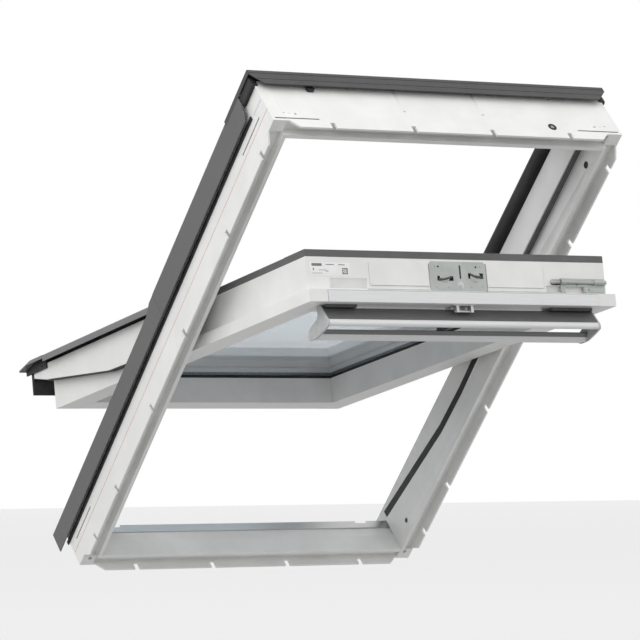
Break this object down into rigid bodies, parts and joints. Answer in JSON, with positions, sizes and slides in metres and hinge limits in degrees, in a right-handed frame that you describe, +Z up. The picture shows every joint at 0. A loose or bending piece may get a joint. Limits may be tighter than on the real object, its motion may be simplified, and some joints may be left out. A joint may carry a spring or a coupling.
{
  "type": "centre-pivot roof window",
  "caption": "White roof skylight with its frame and dark aluminium covers; the glazed sash is swung open on side pivots, with a vent flap, control bar, lock and cleaning bolt.",
  "frame": {"origin": "on the underside of the frame's bottom member, midway across its width and 30 mm out from the room side of the frame", "axes": "+X across the window to the right as seen from the room, -Y up the slope into the building side, +Z up; the frame leans back to a 45 degree roof pitch, as fixed in a roof"},
  "size_m": [0.8, 1.1894, 0.9461],
  "materials": {
    "body_lacquer": "smooth satin white polyurethane skin over a timber core",
    "cover_aluminium": "matt dark grey lacquer",
    "rubber": "black seal",
    "zinc_steel": "zinc plated",
    "dark_steel": "black passivated",
    "satin_aluminium": "satin anodised",
    "grey_plastic": "grey moulded",
    "dark_plastic": "dark grey moulded",
    "glass": "clear float glass"
  },
  "bodies": {
    "frame": {"frame_left_member": "body_lacquer", "frame_right_member": "body_lacquer", "frame_top_member": "body_lacquer", "frame_bottom_member": "body_lacquer", "frame_gasket_upper_left": "rubber", "frame_gasket_upper_right": "rubber", "frame_gasket_top": "rubber", "frame_gasket_lower_left": "rubber", "frame_gasket_lower_right": "rubber", "frame_gasket_bottom": "rubber", "frame_edge_strip_left": "rubber", "frame_edge_strip_right": "rubber", "frame_cover_upper_left": "cover_aluminium", "frame_cover_upper_right": "cover_aluminium", "frame_cover_top": "cover_aluminium", "frame_cover_lower_left": "cover_aluminium", "frame_cover_lower_right": "cover_aluminium", "frame_cover_bottom": "satin_aluminium", "hinge_frame_left": "zinc_steel", "hinge_frame_right": "zinc_steel", "hinge_cap_left": "cover_aluminium", "hinge_cap_right": "cover_aluminium", "strike_plate": "zinc_steel", "bolt_socket": "zinc_steel"},
    "sash": {"sash_left_rail": "body_lacquer", "sash_right_rail": "body_lacquer", "sash_top_rail": "body_lacquer", "sash_bottom_rail": "body_lacquer", "glass_inner": "glass", "glass_outer": "glass", "glass_spacer": "satin_aluminium", "glass_gasket": "rubber", "sash_cover_upper_left": "cover_aluminium", "sash_cover_upper_right": "cover_aluminium", "sash_cover_top": "cover_aluminium", "sash_cover_lower_left": "cover_aluminium", "sash_cover_lower_right": "cover_aluminium", "sash_cover_bottom": "cover_aluminium", "sash_skirt": "rubber", "sash_cover_end_left": "rubber", "sash_cover_end_right": "rubber", "hinge_sash_left": "zinc_steel", "hinge_sash_right": "zinc_steel", "vent_panel_left": "body_lacquer", "vent_panel_right": "body_lacquer", "lock_case": "zinc_steel", "bolt_body": "zinc_steel"},
    "vent": {"vent_flap": "satin_aluminium", "control_bar": "satin_aluminium", "control_bar_grip": "satin_aluminium", "control_bar_cap_left": "grey_plastic", "control_bar_cap_right": "grey_plastic", "control_bar_web": "dark_plastic", "bar_foot_left": "dark_plastic", "bar_foot_right": "dark_plastic", "flap_link": "satin_aluminium"},
    "latch": {"latch_hook_left": "dark_steel", "latch_hook_right": "dark_steel"},
    "bolt": {"bolt_rod": "zinc_steel"}
  },
  "joints": [
    {"name": "sash_pivot", "type": "hinge", "parent": "frame", "child": "sash", "pos_m": [0, -0.35355, 0.50063], "axis": [1, 0, 0], "range_deg": [-36, 124.4]},
    {"name": "vent_flap_hinge", "type": "hinge", "parent": "sash", "child": "vent", "pos_m": [0, -0.82362, 0.46371], "axis": [1, 0, 0], "range_deg": [0, 30]},
    {"name": "latch_slide", "type": "slide", "parent": "sash", "child": "latch", "axis": [0, -0.9877, 0.1564], "range_m": [-0.0065, 0]},
    {"name": "bolt_slide", "type": "slide", "parent": "sash", "child": "bolt", "axis": [1, 0, 0], "range_m": [0, 0.034]}
  ],
  "couplings": [
    {"joint": "latch_slide", "follows": "vent_flap_hinge", "m_per_rad": -0.0115}
  ]
}
